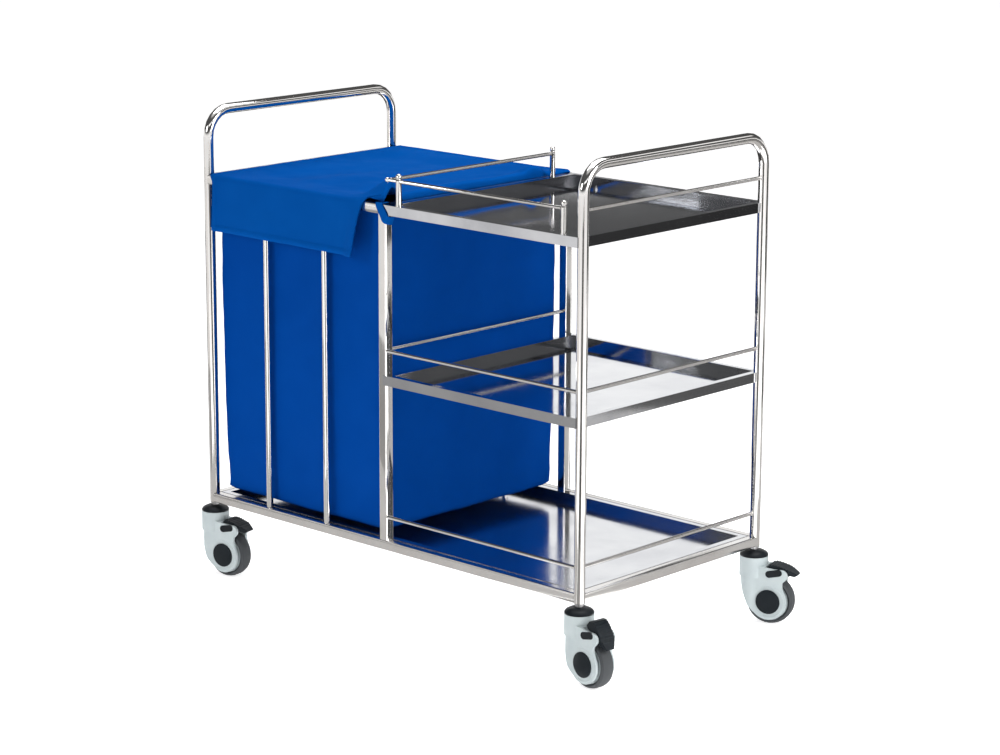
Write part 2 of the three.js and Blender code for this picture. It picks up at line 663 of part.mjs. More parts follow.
// The pedal: a ribbed lever that narrows to its tip, a boss in the arms and a pin.
function casterPedal() {
  const underside = [[90, 104.8], [82, 107.2], [70, 108.4], [52, 107.5], [40, 105.5]];
  const outline = [...pedalTop(), ...underside.map(([x, z]) => new THREE.Vector2(x, z))];
  const taper = [[30, 1], [78, 1], [98, 0.5], [98, -0.5], [78, -1], [30, -1]];
  const plan = taper.map(([x, side]) => new THREE.Vector2(x, side * PEDAL_HALF_WIDTH));
  const lever = solidOf(sidePlate(outline, 2 * PEDAL_HALF_WIDTH));
  const blank = lever.intersect(solidOf(prism(new THREE.Shape(plan), HOUSING_TOP)));
  const boss = crossBar(PEDAL_BOSS_RADIUS, PEDAL_HALF_WIDTH - 1, PEDAL_PIVOT, SMALL_SIDES);
  const pin = crossBar(PEDAL_PIN_RADIUS, HOUSING_HALF_WIDTH - 3, PEDAL_PIVOT, ROD_SIDES);
  return geometryOf(blank.add(solidOf(boss)).add(solidOf(pin)));
}

function addCaster(parent, { name, sideX, sideY, turn, pressed }) {
  const caster = new THREE.Group();
  caster.position.set(sideX * LEG_X, sideY * LEG_Y, 0);
  caster.rotation.z = THREE.MathUtils.degToRad(turn);
  parent.add(caster);
  addPiece(caster, `caster_${name}_stem`, casterStem(), dullSteel());
  addPiece(caster, `caster_${name}_dome`, casterDome(), darkPlastic());
  addPiece(caster, `caster_${name}_housing`, casterHousing(), greyPlastic());
  const wheel = new THREE.Group();
  wheel.position.set(AXLE_AT.x, 0, AXLE_AT.z);
  caster.add(wheel);
  addPiece(wheel, `caster_${name}_hub_caps`, casterAxle(), darkPlastic());
  addPiece(wheel, `caster_${name}_wheel`, wheelCore(), greyPlastic());
  addPiece(wheel, `caster_${name}_tyre`, wheelTyre(), rubber());
  const pivot = new THREE.Group();
  pivot.position.set(PEDAL_PIVOT.x, 0, PEDAL_PIVOT.z);
  pivot.rotation.y = pressed ? THREE.MathUtils.degToRad(PEDAL_TRAVEL) : 0;
  caster.add(pivot);
  const pedal = casterPedal().translate(-PEDAL_PIVOT.x, 0, -PEDAL_PIVOT.z);
  addPiece(pivot, `caster_${name}_pedal`, pedal, darkPlastic());
}

function buildTrolley() {
  const trolley = new THREE.Group();
  addHoops(trolley);
  addBaseRails(trolley);
  addMidPosts(trolley);
  addBagRails(trolley);
  addBagBars(trolley);
  addTrays(trolley);
  addRods(trolley);
  addTopGuard(trolley);
  addPiece(trolley, 'linen_bag', linenBag(), fabricBlue());
  addPiece(trolley, 'bag_cover', bagCover(), fabricBlue());
  CASTERS.forEach((caster) => addCaster(trolley, caster));
  return trolley;
}

// Moves the trolley so that the origin is under the middle of its box.
function centred(trolley) {
  const middle = new THREE.Box3().setFromObject(trolley, true).getCenter(new THREE.Vector3());
  trolley.position.set(-middle.x, -middle.y, 0);
  const whole = new THREE.Group();
  whole.add(trolley);
  return whole;
}

export default centred(buildTrolley());
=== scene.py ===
import math

import bpy
from mathutils import Matrix, Vector, noise


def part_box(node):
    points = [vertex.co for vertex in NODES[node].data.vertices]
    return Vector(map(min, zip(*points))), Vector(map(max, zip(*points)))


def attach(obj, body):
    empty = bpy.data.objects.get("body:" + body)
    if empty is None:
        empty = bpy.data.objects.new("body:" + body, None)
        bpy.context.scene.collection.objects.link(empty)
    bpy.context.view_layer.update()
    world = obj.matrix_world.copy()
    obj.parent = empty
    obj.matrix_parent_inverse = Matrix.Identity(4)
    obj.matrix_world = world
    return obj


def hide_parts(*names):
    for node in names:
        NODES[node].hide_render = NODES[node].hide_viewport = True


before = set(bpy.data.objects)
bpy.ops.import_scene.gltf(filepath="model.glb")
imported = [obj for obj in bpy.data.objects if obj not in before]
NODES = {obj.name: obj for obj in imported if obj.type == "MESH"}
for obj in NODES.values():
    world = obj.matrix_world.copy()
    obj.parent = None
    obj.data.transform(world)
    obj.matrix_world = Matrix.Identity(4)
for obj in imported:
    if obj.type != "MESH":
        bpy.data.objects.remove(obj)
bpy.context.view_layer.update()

# Lengths are in metres: X runs along the trolley, Y from its front to its back, Z up.

scene = bpy.context.scene

# ---------------------------------------------------------------- places


def low(node):
    """The lowest corner of a node's box."""
    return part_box(node)[0]


def high(node):
    """The highest corner of a node's box."""
    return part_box(node)[1]


def middle(node):
    """The middle of a node's box."""
    return (low(node) + high(node)) / 2


LEFT_X = middle("left_hoop").x
RIGHT_X = middle("right_hoop").x
FRONT_Y = middle("base_front_rail").y
BACK_Y = middle("base_back_rail").y
MID_Y = (FRONT_Y + BACK_Y) / 2
RAIL_TOP = high("bag_front_rail").z
RAIL_BOTTOM = low("bag_front_rail").z
TUBE = high("mid_front_post").x - low("mid_front_post").x
CENTRE = Vector(((LEFT_X + RIGHT_X) / 2, MID_Y, 0))

# ---------------------------------------------------------------- camera

CAMERA_FROM_CENTRE = Vector((4.0504, -4.2667, 1.8482))
CAMERA_RIGHT = Vector((0.72985, 0.68360, 0.00412))
CAMERA_UP = Vector((-0.15852, 0.16339, 0.97374))
FURTHEST_SEEN = 200
# The lens and the sensor are in millimetres.
FOCAL_LENGTH = 104.59
SENSOR_WIDTH = 36.0


def make_camera():
    data = bpy.data.cameras.new("camera")
    data.lens = FOCAL_LENGTH
    data.sensor_width = SENSOR_WIDTH
    data.sensor_fit = "HORIZONTAL"
    data.clip_end = FURTHEST_SEEN
    camera = bpy.data.objects.new("camera", data)
    scene.collection.objects.link(camera)
    back = CAMERA_RIGHT.cross(CAMERA_UP)
    turn = Matrix((CAMERA_RIGHT, CAMERA_UP, back)).transposed().to_4x4()
    camera.matrix_world = Matrix.Translation(CENTRE + CAMERA_FROM_CENTRE) @ turn
    scene.camera = camera


make_camera()

# ---------------------------------------------------------------- materials

# The values that a noise texture mostly keeps between.
NOISE_LOW = 0.3
NOISE_HIGH = 0.7

GRAIN_DEPTH = 0.00002
PLASTIC_DEPTH = 0.0001
THREAD = 0.0011
THREAD_DEPTH = 0.00012
CREASE_DEPTH = 0.0016


class Shader:
    """A node material under construction, with short names for the nodes it uses."""

    def __init__(self, name):
        self.material = bpy.data.materials.new(name)
        self.material.use_nodes = True
        self.nodes = self.material.node_tree.nodes
        self.links = self.material.node_tree.links
        self.bsdf = self.nodes["Principled BSDF"]
        self.coords = self.nodes.new("ShaderNodeTexCoord").outputs["Object"]

    def constants(self, **values):
        """Plain values of the shader's inputs, with _ for each space in an input's name."""
        for key, value in values.items():
            self.bsdf.inputs[key.replace("_", " ")].default_value = value

    def set(self, key, value):
        """Feeds one of the shader's inputs from another node."""
        self.links.new(value, self.bsdf.inputs[key])

    def mapped(self, scale):
        """The object's own coordinates, scaled along each axis."""
        node = self.nodes.new("ShaderNodeMapping")
        node.inputs["Scale"].default_value = scale
        self.links.new(self.coords, node.inputs["Vector"])
        return node.outputs["Vector"]

    def noise(self, scale, detail, vector=None):
        """Soft noise, from 0 to 1."""
        node = self.nodes.new("ShaderNodeTexNoise")
        node.inputs["Scale"].default_value = scale
        node.inputs["Detail"].default_value = detail
        self.links.new(vector or self.coords, node.inputs["Vector"])
        return node.outputs["Fac"]

    def spread(self, value, out_low, out_high):
        """Noise spread over the range from out_low to out_high."""
        node = self.nodes.new("ShaderNodeMapRange")
        node.inputs["From Min"].default_value = NOISE_LOW
        node.inputs["From Max"].default_value = NOISE_HIGH
        node.inputs["To Min"].default_value = out_low
        node.inputs["To Max"].default_value = out_high
        self.links.new(value, node.inputs["Value"])
        return node.outputs["Result"]

    def colours(self, value, first, second):
        """A mix of two colours, the first where value is 0 and the second where it is 1."""
        node = self.nodes.new("ShaderNodeMix")
        node.data_type = "RGBA"
        node.inputs["A"].default_value = (*first, 1)
        node.inputs["B"].default_value = (*second, 1)
        self.links.new(value, node.inputs["Factor"])
        return node.outputs["Result"]

    def math(self, operation, first, second):
        """A sum, product or other operation on two values, each a number or a node's output."""
        node = self.nodes.new("ShaderNodeMath")
        node.operation = operation
        for socket, value in zip(node.inputs, (first, second)):
            if isinstance(value, (int, float)):
                socket.default_value = value
            else:
                self.links.new(value, socket)
        return node.outputs["Value"]

    def bump(self, height, distance, strength, before=None):
        """A surface relief of this depth, on top of the relief before it."""
        node = self.nodes.new("ShaderNodeBump")
        node.inputs["Distance"].default_value = distance
        node.inputs["Strength"].default_value = strength
        self.links.new(height, node.inputs["Height"])
        if before is not None:
            self.links.new(before, node.inputs["Normal"])
        return node.outputs["Normal"]


def steel(name, tones, rough, grain):
    """Stainless steel: fine grain along grain's small numbers, with smears of polish."""
    s = Shader(name)
    s.constants(Metallic=1.0, Anisotropic=0.3)
    smears = s.noise(9.0, 4.0)
    lines = s.noise(1.0, 2.0, s.mapped(grain))
    s.set("Base Color", s.colours(s.spread(smears, 0, 1), *tones))
    patchy = s.spread(smears, rough * 0.8, rough * 1.25)
    s.set("Roughness", s.math("ADD", patchy, s.spread(lines, -0.02, 0.03)))
    s.set("Normal", s.bump(lines, GRAIN_DEPTH, 0.35))
    return s.material


def plastic(name, tones, rough, gloss=0.35, scale=900.0):
    """Moulded plastic: a fine texture, scuffs and slightly uneven gloss."""
    s = Shader(name)
    s.constants(Metallic=0.0, IOR=1.5, Specular_IOR_Level=gloss)
    scuffs = s.noise(35.0, 5.0)
    s.set("Base Color", s.colours(s.spread(scuffs, 0, 1), *tones))
    s.set("Roughness", s.spread(scuffs, rough * 0.85, rough * 1.2))
    s.set("Normal", s.bump(s.noise(scale, 2.0), PLASTIC_DEPTH, 0.4))
    return s.material


def thread_ridges(s, axis):
    """Ridges across one axis, a thread apart."""
    scale = [0.0, 0.0, 0.0]
    scale[axis] = 2 * math.pi / THREAD
    split = s.nodes.new("ShaderNodeSeparateXYZ")
    s.links.new(s.mapped(scale), split.inputs["Vector"])
    return s.math("SINE", split.outputs[axis], 0.0)


def fabric(name, tones):
    """Close woven cloth: warp and weft ridges, small creases and a faint blue sheen."""
    s = Shader(name)
    s.constants(Metallic=0.0, IOR=1.45, Specular_IOR_Level=0.015)
    s.constants(Sheen_Weight=0.03, Sheen_Roughness=0.45, Sheen_Tint=(0.0, 0.18, 1.0, 1.0))
    ridges = [thread_ridges(s, axis) for axis in range(3)]
    weave = s.math("MULTIPLY", s.math("ADD", ridges[0], ridges[1]), ridges[2])
    creases = s.noise(14.0, 5.0)
    cloudy = s.noise(3.0, 3.0)
    tone = s.math("ADD", s.spread(cloudy, 0, 0.6), s.spread(creases, 0, 0.4))
    s.set("Base Color", s.colours(tone, *tones))
    s.set("Roughness", s.spread(creases, 0.72, 0.88))
    folds = s.bump(creases, CREASE_DEPTH, 0.55)
    s.set("Normal", s.bump(weave, THREAD_DEPTH, 0.3, folds))
    return s.material


# Each look varies between a first and a second tone.
FRAME_TONES = (0.83, 0.815, 0.80), (0.72, 0.70, 0.68)
TRAY_TONES = (0.76, 0.77, 0.79), (0.66, 0.67, 0.70)
# Painted reflection: the top tray is the trays' steel painted darker, standing in for the dark
# reflections on its floor.
TOP_TRAY_TONES_PAINTED_DARK = (0.66, 0.67, 0.70), (0.50, 0.51, 0.54)
STEM_TONES = (0.5, 0.5, 0.5), (0.36, 0.36, 0.37)
BAG_TONES = (0.0003, 0.058, 0.325), (0.0003, 0.048, 0.275)
# Painted light: the cover and the strap are the bag's cloth, painted lighter and more cyan to stand in
# for the light from above on the cover's top.
COVER_TONES_PAINTED_LIGHTER = (0.0003, 0.076, 0.345), (0.0003, 0.062, 0.295)
PALE_TONES = (0.56, 0.625, 0.635), (0.50, 0.565, 0.58)
DARK_TONES = (0.006, 0.009, 0.012), (0.011, 0.014, 0.018)
CAP_TONES = (0.008, 0.012, 0.016), (0.013, 0.018, 0.023)
TYRE_TONES = (0.050, 0.055, 0.060), (0.065, 0.070, 0.076)

# How fine the grain of the steel is along X, Y and Z.
POST_GRAIN = (700, 700, 60)
RAIL_GRAIN = (40, 700, 700)
ROD_GRAIN = (300, 300, 300)
TRAY_GRAIN = (25, 900, 900)
STEM_GRAIN = (500, 500, 500)

frame_steel = steel("frame_steel", FRAME_TONES, 0.06, POST_GRAIN)
rail_steel = steel("rail_steel", FRAME_TONES, 0.15, RAIL_GRAIN)
rod_steel = steel("rod_steel", FRAME_TONES, 0.10, ROD_GRAIN)
tray_steel = steel("tray_steel", TRAY_TONES, 0.06, TRAY_GRAIN)
bottom_steel = steel("bottom_tray_steel", TRAY_TONES, 0.13, TRAY_GRAIN)
# Painted reflection: a darker copy of the tray steel, standing in for the dark reflections on the top
# tray.
top_steel_painted_dark = steel("top_tray_steel_painted_dark", TOP_TRAY_TONES_PAINTED_DARK, 0.07, TRAY_GRAIN)
stem_steel = steel("stem_steel", STEM_TONES, 0.3, STEM_GRAIN)
bag_cloth = fabric("bag_cloth", BAG_TONES)
# Painted light: a lighter, more cyan copy of the bag's cloth, standing in for the light that falls on
# the cover's top.
cover_cloth_painted_lighter = fabric("cover_cloth_painted_lighter", COVER_TONES_PAINTED_LIGHTER)
pale_plastic = plastic("pale_plastic", PALE_TONES, 0.38)
dark_plastic = plastic("dark_plastic", DARK_TONES, 0.38, gloss=0.2)
cap_plastic = plastic("cap_plastic", CAP_TONES, 0.42, gloss=0.18)
tyre_rubber = plastic("tyre_rubber", TYRE_TONES, 0.6, scale=700.0)

# The first ending that a node's name has gives its look, and the others are frame_steel.
CAD_LOOKS = {
    "_stem": stem_steel,
    "_dome": dark_plastic,
    "_housing": pale_plastic,
    "_hub_caps": cap_plastic,
    "_wheel": pale_plastic,
    "_tyre": tyre_rubber,
    "_pedal": cap_plastic,
    "_rail": rail_steel,
    "_rod": rod_steel,
    "top_tray": top_steel_painted_dark,
    "bottom_tray": bottom_steel,
    "_tray": tray_steel,
}


def dress_cad():
    """Gives every node of the CAD model its look."""
    for name, node in NODES.items():
        look = next((m for end, m in CAD_LOOKS.items() if name.endswith(end)), frame_steel)
        node.data.materials.clear()
        node.data.materials.append(look)


dress_cad()

# ---------------------------------------------------------------- smooth shading

# Faces that meet at less than this angle belong to one rounded surface.
SAME_SURFACE = math.cos(math.radians(34))
# Corners that agree to this many decimals of a metre are at the same place.
SAME_PLACE = 6


def corner_weights(corners):
    """The angle of a face at each of its corners."""
    weights = []
    count = len(corners)
    for i in range(count):
        one = corners[i - 1] - corners[i]
        other = corners[(i + 1) % count] - corners[i]
        weights.append(one.angle(other, 0.0))
    return weights


def shade_rounded(mesh):
    """Shades rounded surfaces smoothly and leaves edges sharp. No point of the mesh moves."""
    around = {}
    own = []
    for face in mesh.polygons:
        corners = [mesh.vertices[v].co for v in face.vertices]
        for place, weight in zip(corners, corner_weights(corners)):
            key = tuple(round(c, SAME_PLACE) for c in place)
            around.setdefault(key, []).append((face.normal.copy(), weight))
            own.append((face.normal.copy(), key))
    normals = []
    for normal, key in own:
        total = Vector()
        for other, weight in around[key]:
            if normal.dot(other) > SAME_SURFACE:
                total += other * weight
        normals.append(total.normalized() if total.length > 0 else normal)
    mesh.shade_smooth()
    mesh.normals_split_custom_set(normals)


for node in NODES.values():
    shade_rounded(node.data)

# ---------------------------------------------------------------- making pieces


def piece_from(name, points, faces, material, body, smooth=True):
    """A piece made of points and faces, that rides on a body."""
    mesh = bpy.data.meshes.new(name)
    mesh.from_pydata([tuple(p) for p in points], [], faces)
    mesh.update()
    if smooth:
        mesh.shade_smooth()
    mesh.materials.append(material)
    piece = bpy.data.objects.new(name, mesh)
    scene.collection.objects.link(piece)
    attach(piece, body)
    return piece


def soft_noise(point, scale, seed):
    """Smooth noise between -1 and 1, with scale waves to the metre and a pattern for each seed."""
    return noise.noise(Vector(point) * scale + Vector((seed, seed * 0.7, -seed)))


def grid_faces(rows, columns, closed=False):
    """Faces of a grid of points, row by row. A closed grid joins its last column to its first."""
    faces = []
    wide = columns if closed else columns - 1
    for r in range(rows - 1):
        here, after = r * columns, (r + 1) * columns
        for c in range(wide):
            d = (c + 1) % columns
            faces.append((here + c, here + d, after + d, after + c))
    return faces


def thicken(piece, thickness, offset):
    """Gives a sheet its thickness: offset -1 adds it behind the faces, 0 on both sides alike."""
    modifier = piece.modifiers.new("thickness", "SOLIDIFY")
    modifier.thickness = thickness
    modifier.offset = offset
    depsgraph = bpy.context.evaluated_depsgraph_get()
    depsgraph.update()
    made = bpy.data.meshes.new_from_object(piece.evaluated_get(depsgraph))
    piece.modifiers.clear()
    piece.data = made


def ease(value):
    """A smooth step, 0 up to a value of 0 and 1 from a value of 1 on."""
    value = min(1.0, max(0.0, value))
    return value * value * (3 - 2 * value)


def hump(value, height, centre, reach):
    """A smooth hump of this height at centre, that ends reach away on both sides."""
    q = (value - centre) / reach
    return height * ((1 + math.cos(math.pi * q)) / 2) if abs(q) < 1 else 0.0


# ---------------------------------------------------------------- the bag

CLOTH = 0.0016
BAG_LOW, BAG_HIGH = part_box("linen_bag")
BAG_COLUMNS = 200
BAG_ROWS = 90
BASE_RINGS = 7

# The bag's walls at its top edge, and how far each one has come in at its foot.
BAG_LEFT = BAG_LOW.x - 0.001
BAG_RIGHT = BAG_HIGH.x - 0.002
BAG_FRONT = BAG_LOW.y + 0.002
BAG_BACK = BAG_HIGH.y - 0.003
BAG_TOP = BAG_HIGH.z - 0.001
BAG_FOOT = BAG_LOW.z
LEFT_TAPER = 0.012
RIGHT_TAPER = 0.004
FRONT_TAPER = 0.001

# The radius of the upright corners at the top, what it gains at the foot, and its least value.
BAG_CORNER = 0.010
CORNER_GROWTH = 0.003
LEAST_CORNER = 0.008
# The rounding between the walls and the base.
FOOT_ROUND = 0.010

# How far the cloth moves out or in, and the shares of the height with pleats and foot creases.
BULGE = 0.0035
RIPPLE = 0.0030
WRINKLE = 0.0012
PLEAT = 0.0022
PLEATS_FROM = 0.72
PLEAT_RATE = 95
FOOT_CREASE = 0.0035
FOOT_CREASES_TO = 0.16

# The height of the base's cloth over the foot, how much lower its middle is, and its unevenness.
BASE_HEIGHT = 0.001
BASE_SAG = 0.0012
BASE_WRINKLE = 0.001
BASE_LOWEST = 0.0002
BASE_MIDDLE = 0.0004


def rounded_outline(width, depth, corner, count):
    """count points evenly round a rectangle with rounded corners, from the middle of its -Y side."""
    straight_x, straight_y = width - 2 * corner, depth - 2 * corner
    arc = math.pi * corner / 2
    lengths = [straight_x / 2, arc, straight_y, arc, straight_x, arc, straight_y, arc, straight_x / 2]
    total = sum(lengths)
    hx, hy = width / 2, depth / 2
    near_x, near_y = hx - corner, hy - corner
    centres = [(near_x, -near_y), (near_x, near_y), (-near_x, near_y), (-near_x, -near_y)]
    points = []
    for i in range(count):
        d = total * i / count
        part = 0
        while d > lengths[part]:
            d -= lengths[part]
            part += 1
        if part == 0:
            points.append((d, -hy))
        elif part == 2:
            points.append((hx, d - near_y))
        elif part == 4:
            points.append((near_x - d, hy))
        elif part == 6:
            points.append((-hx, near_y - d))
        elif part == 8:
            points.append((d - near_x, -hy))
        else:
            k = (part - 1) // 2
            a = math.radians(90 * (k - 1)) + d / corner
            points.append((centres[k][0] + corner * math.cos(a), centres[k][1] + corner * math.sin(a)))
    return points


def bag_level(t):
    """The bag's outline at t, 0 at the foot to 1 at the top: left, right, front, back, corner."""
    fall = 1 - t
    left = BAG_LEFT + LEFT_TAPER * fall
    right = BAG_RIGHT - RIGHT_TAPER * fall
    front = BAG_FRONT + FRONT_TAPER * fall
    corner = BAG_CORNER + CORNER_GROWTH * fall ** 3
    return left, right, front, BAG_BACK, corner


def bag_point(x, y, z, t, out):
    """Moves a point of the bag's wall out or in where the cloth sags, bulges and creases."""
    fullness = math.sin(math.pi * min(1, t * 1.1))
    bulge = BULGE * fullness * (1 + 0.5 * soft_noise((x, y, z), 3.0, 2.0))
    near_end = 0.4 + 0.6 * abs(2 * t - 1)
    ripple = RIPPLE * soft_noise((x * 2.2, y * 2.2, z * 0.8), 6.0, 5.0) * near_end
    wrinkle = WRINKLE * soft_noise((x, y, z), 24.0, 9.0)
    gathered = max(0, t - PLEATS_FROM) / (1 - PLEATS_FROM)
    uneven = 0.5 + soft_noise((x, y, 0), 5.0, 1.0)
    pleats = PLEAT * math.sin((x + y) * PLEAT_RATE) * gathered * uneven
    near_foot = max(0, FOOT_CREASES_TO - t) / FOOT_CREASES_TO
    foot_crease = FOOT_CREASE * near_foot * soft_noise((x, y, z * 2), 17.0, 4.0)
    move = bulge + ripple + wrinkle + pleats + foot_crease
    return Vector((x + out[0] * move, y + out[1] * move, z))


def bag_wall():
    """Rows of points round the bag's wall, from its rounded foot to its top edge."""
    points = []
    for row in range(BAG_ROWS):
        t = row / (BAG_ROWS - 1)
        z = BAG_FOOT + (BAG_TOP - BAG_FOOT) * t
        left, right, front, back, corner = bag_level(t)
        drop = max(0.0, FOOT_ROUND - (z - BAG_FOOT))
        inset = FOOT_ROUND - math.sqrt(max(0.0, FOOT_ROUND ** 2 - drop ** 2))
        width, depth = right - left - 2 * inset, back - front - 2 * inset
        cx, cy = (left + right) / 2, (front + back) / 2
        radius = max(LEAST_CORNER, corner - inset * 0.3)
        for x, y in rounded_outline(width, depth, radius, BAG_COLUMNS):
            length = math.hypot(x / width, y / depth)
            out = (x / width / length, y / depth / length)
            points.append(bag_point(cx + x, cy + y, z, t, out))
    return points


def add_bag_base(points, faces):
    """Closes the foot of the bag's wall with rings that shrink to a point in the middle."""
    foot = points[:BAG_COLUMNS]
    centre = sum(foot, Vector()) / len(foot)
    start = 0
    for ring in range(1, BASE_RINGS):
        inward = ring / BASE_RINGS
        first = len(points)
        for p in foot:
            q = centre + (p - centre) * (1 - inward)
            height = BASE_HEIGHT - BASE_SAG * inward - BASE_WRINKLE * soft_noise(q, 12.0, 3.0)
            points.append(Vector((q.x, q.y, BAG_FOOT + max(BASE_LOWEST, height))))
        for c in range(BAG_COLUMNS):
            d = (c + 1) % BAG_COLUMNS
            faces.append((first + c, first + d, start + d, start + c))
        start = first
    points.append(Vector((centre.x, centre.y, BAG_FOOT + BASE_MIDDLE)))
    for c in range(BAG_COLUMNS):
        faces.append((len(points) - 1, start + (c + 1) % BAG_COLUMNS, start + c))


def make_bag():
    points = bag_wall()
    faces = grid_faces(BAG_ROWS, BAG_COLUMNS, closed=True)
    add_bag_base(points, faces)
    bag = piece_from("bag_body", points, faces, bag_cloth, "frame")
    thicken(bag, CLOTH, -1.0)
    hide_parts("linen_bag")


make_bag()

# ---------------------------------------------------------------- the cover

COVER_LOW, COVER_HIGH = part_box("bag_cover")
COVER_LEFT = COVER_LOW.x + 0.001
COVER_RIGHT = COVER_HIGH.x - 0.003
COVER_BACK = COVER_HIGH.y
COVER_FRONT = COVER_LOW.y + 0.004
COVER_REST = RAIL_TOP + 0.0008 + CLOTH
COVER_STEP = 0.006

# The cloth bends over the front rail into the flap, and turns down a little on the right side.
COVER_BEND = 0.007
FLAP_FOOT = COVER_LOW.z
FLAP = COVER_REST - COVER_BEND - FLAP_FOOT
SIDE_TURN = 0.010
SIDE_FOOT = 0.0006
SIDE_OUT = 0.0035

# Lengths along the cloth: across the top, from back to front, round the bend, and over all.
TOP_RUN = COVER_RIGHT - COVER_LEFT
FLAT_RUN = COVER_BACK - COVER_FRONT - COVER_BEND
BEND_RUN = COVER_BEND * math.pi / 2
COVER_WIDE = TOP_RUN + SIDE_TURN
COVER_LONG = FLAT_RUN + BEND_RUN + FLAP

# The stitched hem's width, how far it stands up as doubled cloth, and the width of its step.
HEM = 0.013
HEM_RAISE = 0.0010
HEM_STEP = 0.0012

# The cover hangs free this far from its rails, and sags, waves and creases there.
RAIL_MARGIN = 0.006
SIDE_MARGIN = 0.01
HANG_REACH = 0.09
COVER_SAG = 0.0075
COVER_WAVE = 0.0048
COVER_CREASE = 0.0012
RIDGE = 0.004

# Where the right hem stands up from its rail: height, middle along Y, reach on both sides.
FRONT_ARCH = 0.031, COVER_FRONT + 0.034, 0.032
MIDDLE_ARCH = 0.003, MID_Y - 0.06, 0.13
REAR_ARCH = 0.014, COVER_BACK - 0.108, 0.040
# The right side rises from the back to the front, and how far in the rise and the arches reach.
SIDE_RISE_BACK = 0.002
SIDE_RISE_FRONT = 0.0095
SIDE_RISE_IN = 0.045
ARCH_IN = 0.060

# The flap: how far its right edge draws in at once and further down, and its left edge too.
NOTCH = 0.040
RIGHT_DRAW = 0.022
LEFT_DRAW = 0.010
FLAP_SWING = 0.0042
FLAP_CREASE = 0.0008
FLAP_CURL = 0.014
FLAP_OFF = 0.0008


def stations(length):
    """Distances along the cover's cloth, closer together over its two stitched hems."""
    near = [0.0, HEM * 0.5, HEM - HEM_STEP, HEM, HEM + 0.002]
    inner = length - 2 * near[-1]
    count = max(2, int(inner / COVER_STEP))
    inside = [near[-1] + inner * i / count for i in range(1, count)]
    return near + inside + [length - d for d in reversed(near)]


def hem_lift(s, v):
    """How far the doubled cloth of the stitched hems stands up."""
    inside = min(s, COVER_WIDE - s, v, COVER_LONG - v)
    return HEM_RAISE if inside < HEM - HEM_STEP / 2 else 0.0


def front_arch(y):
    """How far the right hem stands up from its rail in the arch beside the front corner."""
    return hump(y, *FRONT_ARCH)


def side_lift(y):
    """How far the right side of the cover stands up from its rail in all its arches."""
    return front_arch(y) + hump(y, *REAR_ARCH) + hump(y, *MIDDLE_ARCH)


def cover_top(x, y):
    """Height of the cover's upper surface over its rails."""
    along = (COVER_BACK - y) / (COVER_BACK - COVER_FRONT)
    from_side = COVER_RIGHT - x
    free = min(y - COVER_FRONT, COVER_BACK - y) - TUBE - RAIL_MARGIN
    hang = ease(free / HANG_REACH) * ease((x - COVER_LEFT) / HANG_REACH)
    hang *= ease((from_side - SIDE_MARGIN) / HANG_REACH)
    wave = COVER_WAVE * soft_noise((x * 1.4, y * 0.8, 0), 6.5, 3.0) * hang
    creases = COVER_CREASE * soft_noise((x, y, 0), 24.0, 8.0) * (0.4 + 0.6 * hang)
    rise = SIDE_RISE_BACK + SIDE_RISE_FRONT * ease((COVER_BACK - y) / 0.16)
    edge = rise * math.exp(-((from_side / SIDE_RISE_IN) ** 2))
    arch = side_lift(y) * math.exp(-((from_side / ARCH_IN) ** 2))
    ridge = hump(from_side, RIDGE, 0.16 + 0.2 * along, 0.09) * hang
    return COVER_REST - COVER_SAG * hang + wave + creases + edge + arch + ridge


def top_point(x, y, over, lift):
    """A point of the cover on the rails. over is how far it is past the turn on the right side."""
    z = cover_top(x, y)
    if over == 0:
        return Vector((x, y, z + lift))
    turned = over / SIDE_TURN
    foot = RAIL_TOP + SIDE_FOOT + front_arch(y) * 0.97
    z += (foot - z) * min(1.0, turned)
    x += SIDE_OUT * math.sin(math.pi / 2 * turned)
    return Vector((x + lift, y, z))


def flap_point(across, past, over, lift):
    """A point past the start of the bend, down the flap. across is its distance from the left."""
    share_across = across / TOP_RUN
    turn = min(1.0, past / BEND_RUN) * math.pi / 2
    down = max(0.0, past - BEND_RUN)
    share = down / FLAP
    draw_right = NOTCH * ease(past / 0.006) + RIGHT_DRAW * share ** 0.55
    x = COVER_LEFT + across - draw_right * ease((share_across - 0.55) / 0.45)
    x += LEFT_DRAW * ease(past / 0.02) * ease(1 - across / 0.12)
    swing = FLAP_SWING * (1 + soft_noise((x, down * 0.6, 0), 8.0, 6.0)) * share
    swing += FLAP_CREASE * soft_noise((x, down, 0), 26.0, 2.0)
    curl = FLAP_CURL * ease((share_across - 0.90) / 0.1) * share ** 0.6
    y = COVER_FRONT + COVER_BEND * (1 - math.sin(turn)) - FLAP_OFF - swing - curl - lift
    z = cover_top(x, COVER_FRONT + COVER_BEND) - COVER_BEND * (1 - math.cos(turn)) - down
    z = max(z, FLAP_FOOT + 0.001 * soft_noise((x, 0, 0), 15.0, 4.0))
    return Vector((x - over * 0.35, y + over * 0.8, z))


def cover_point(s, v):
    """A point of the cover: s along the cloth from the left hem, v along it from the back hem."""
    across = min(s, TOP_RUN)
    over = max(0.0, s - TOP_RUN)
    lift = hem_lift(s, v)
    if v <= FLAT_RUN:
        return top_point(COVER_LEFT + across, COVER_BACK - v, over, lift)
    return flap_point(across, v - FLAT_RUN, over, lift)


def make_cover():
    columns, rows = stations(COVER_WIDE), stations(COVER_LONG)
    points = [cover_point(s, v) for v in rows for s in columns]
    faces = [tuple(reversed(f)) for f in grid_faces(len(rows), len(columns))]
    cover = piece_from("cover_body", points, faces, cover_cloth_painted_lighter, "cover")
    thicken(cover, CLOTH, -1.0)
    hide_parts("bag_cover")


make_cover()

# ---------------------------------------------------------------- the strap

STRAP_WIDTH = 0.019
STRAP_THICKNESS = 0.0012
# The strap's middle keeps this far off the rail and the post.
STRAP_OFF = 0.0016
STRAP_COLUMNS = 9
STRAP_STEPS = 6


